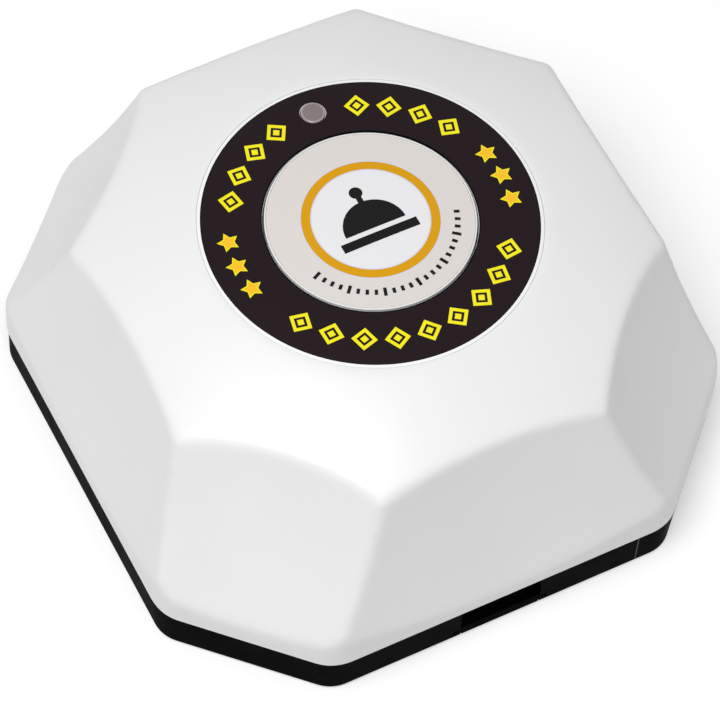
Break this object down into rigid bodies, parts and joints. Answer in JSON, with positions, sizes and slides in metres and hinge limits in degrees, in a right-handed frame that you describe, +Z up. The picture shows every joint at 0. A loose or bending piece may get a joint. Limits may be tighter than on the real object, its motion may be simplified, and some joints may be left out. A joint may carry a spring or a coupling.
{
  "type": "waiter call button",
  "caption": "Table-top call button: octagonal cover with scooped sides on a dark base, round push button in a printed ring, sliding battery door.",
  "frame": {"origin": "centre of the footprint, on the surface that the feet stand on", "axes": "+Z up through the button; -Y to the front, where the battery door slides out; +X to the right"},
  "size_m": [0.08, 0.08, 0.0375],
  "materials": {
    "cover_plastic": "satin moulded",
    "ring_print": "printed film",
    "light_pipe": "tinted, polished",
    "button_plastic": "satin moulded",
    "disc_print": "printed film",
    "base_plastic": "moulded",
    "cell_sleeve": "shrunk film",
    "plated_steel": "nickel plated",
    "board_laminate": "solder mask",
    "chip_plastic": "moulded",
    "plunger_plastic": "moulded",
    "lamp": "clear",
    "ceramic": "fired",
    "copper_wire": "enamelled",
    "foot_rubber": "matt"
  },
  "bodies": {
    "housing": {"top_cover": "cover_plastic", "cover_label": "ring_print", "led_light_pipe": "light_pipe", "base_tray": "base_plastic", "battery_cell": "cell_sleeve", "contact_spring": "plated_steel", "negative_contact": "plated_steel", "positive_contact": "plated_steel", "circuit_board": "board_laminate", "board_screws": "plated_steel", "switch_body": "chip_plastic", "switch_dome": "plated_steel", "switch_frame": "plated_steel", "status_led": "lamp", "encoder_chip": "chip_plastic", "saw_resonator": "plated_steel", "rf_transistor": "chip_plastic", "supply_capacitor": "cell_sleeve", "chip_resistors": "chip_plastic", "chip_capacitors": "ceramic", "antenna_coil": "copper_wire", "case_screws": "plated_steel", "rubber_feet": "foot_rubber"},
    "button": {"call_button": "button_plastic", "button_label": "disc_print"},
    "plunger": {"switch_plunger": "plunger_plastic"},
    "door": {"battery_door": "base_plastic"}
  },
  "joints": [
    {"name": "button_press", "type": "slide", "parent": "housing", "child": "button", "axis": [0, 0, -1], "range_m": [0, 0.0004], "stiffness_N_per_m": 2000, "springref_m": -0.0004},
    {"name": "plunger_press", "type": "slide", "parent": "housing", "child": "plunger", "axis": [0, 0, -1], "range_m": [0, 0.0004], "deforming": ["switch_dome"]},
    {"name": "door_slide", "type": "slide", "parent": "housing", "child": "door", "axis": [0, -1, 0], "range_m": [0, 0.034]}
  ],
  "couplings": [
    {"joint": "plunger_press", "follows": "button_press", "ratio": 1}
  ]
}
